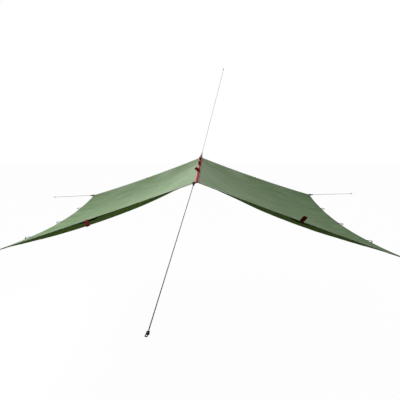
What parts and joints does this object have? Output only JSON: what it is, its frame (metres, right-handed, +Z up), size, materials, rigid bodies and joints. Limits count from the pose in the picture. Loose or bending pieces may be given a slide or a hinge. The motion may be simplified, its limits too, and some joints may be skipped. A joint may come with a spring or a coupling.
{
  "type": "camping tarp",
  "caption": "square camping tarp pitched over its ridge as a shallow A-frame, with webbing loops on the ridge, edges and corners, and cords at the ridge ends and far corners",
  "frame": {"origin": "the middle of the ridge, on the axis of the ridge seam, from which the tarp is held up", "axes": "Y runs along the ridge with the near end at -Y, X across the panels, Z up"},
  "size_m": [4.3188, 5.9657, 1.9504],
  "materials": {
    "cloth_green": "coated rip-stop cloth",
    "patch_dark": "matt coated cloth",
    "webbing_red": "woven webbing",
    "webbing_dark": "woven webbing",
    "cord_grey": "braided cord"
  },
  "bodies": {
    "ridge": {"ridge_seam": "cloth_green", "ridge_tape": "webbing_red", "ridge_loop_near": "webbing_red", "ridge_loop_middle": "webbing_red", "ridge_loop_far": "webbing_red", "near_end_loop": "webbing_red", "far_end_loop": "webbing_red"},
    "left_wing": {"left_panel": "cloth_green", "left_near_corner_patch": "patch_dark", "left_near_edge_patch": "patch_dark", "left_near_ridge_patch": "patch_dark", "left_far_corner_patch": "patch_dark", "left_far_edge_patch": "patch_dark", "left_far_ridge_patch": "patch_dark", "left_near_side_patch": "patch_dark", "left_middle_side_patch": "patch_dark", "left_far_side_patch": "patch_dark", "left_near_edge_loop": "webbing_red", "left_far_edge_loop": "webbing_red", "left_near_corner_loop": "webbing_dark", "left_far_corner_loop": "webbing_dark", "left_near_side_loop": "webbing_dark", "left_middle_side_loop": "webbing_dark", "left_far_side_loop": "webbing_dark"},
    "right_wing": {"right_panel": "cloth_green", "right_near_corner_patch": "patch_dark", "right_near_edge_patch": "patch_dark", "right_near_ridge_patch": "patch_dark", "right_far_corner_patch": "patch_dark", "right_far_edge_patch": "patch_dark", "right_far_ridge_patch": "patch_dark", "right_near_side_patch": "patch_dark", "right_middle_side_patch": "patch_dark", "right_far_side_patch": "patch_dark", "right_near_edge_loop": "webbing_red", "right_far_edge_loop": "webbing_red", "right_near_corner_loop": "webbing_dark", "right_far_corner_loop": "webbing_dark", "right_near_side_loop": "webbing_dark", "right_middle_side_loop": "webbing_dark", "right_far_side_loop": "webbing_dark"},
    "near_ridge_cord": {"near_ridge_cord": "cord_grey"},
    "far_ridge_cord": {"far_ridge_cord": "cord_grey"},
    "left_guyline": {"left_guyline": "cord_grey"},
    "right_guyline": {"right_guyline": "cord_grey"}
  },
  "joints": [
    {"name": "left_wing_pitch", "type": "hinge", "parent": "ridge", "child": "left_wing", "pos_m": [0, 0, 0], "axis": [0, -1, 0], "range_deg": [-18.9, 40]},
    {"name": "right_wing_pitch", "type": "hinge", "parent": "ridge", "child": "right_wing", "pos_m": [0, 0, 0], "axis": [0, 1, 0], "range_deg": [-18.9, 40]},
    {"name": "near_ridge_cord_swing", "type": "hinge", "parent": "ridge", "child": "near_ridge_cord", "pos_m": [-0.01489, -1.53174, -0.00219], "axis": [0.9959, -0.0906, 0], "range_deg": [-60, 60]},
    {"name": "far_ridge_cord_swing", "type": "hinge", "parent": "ridge", "child": "far_ridge_cord", "pos_m": [0.00549, 1.52475, 0.02747], "axis": [0.9763, -0.2164, 0], "range_deg": [-60, 45]},
    {"name": "left_guyline_swing", "type": "hinge", "parent": "left_wing", "child": "left_guyline", "pos_m": [-1.43971, 1.52118, -0.50825], "axis": [0.5722, 0.78, 0.2533], "range_deg": [-60, 60]},
    {"name": "right_guyline_swing", "type": "hinge", "parent": "right_wing", "child": "right_guyline", "pos_m": [1.44599, 1.52137, -0.48924], "axis": [0.5812, -0.7712, -0.2598], "range_deg": [-60, 60]}
  ]
}
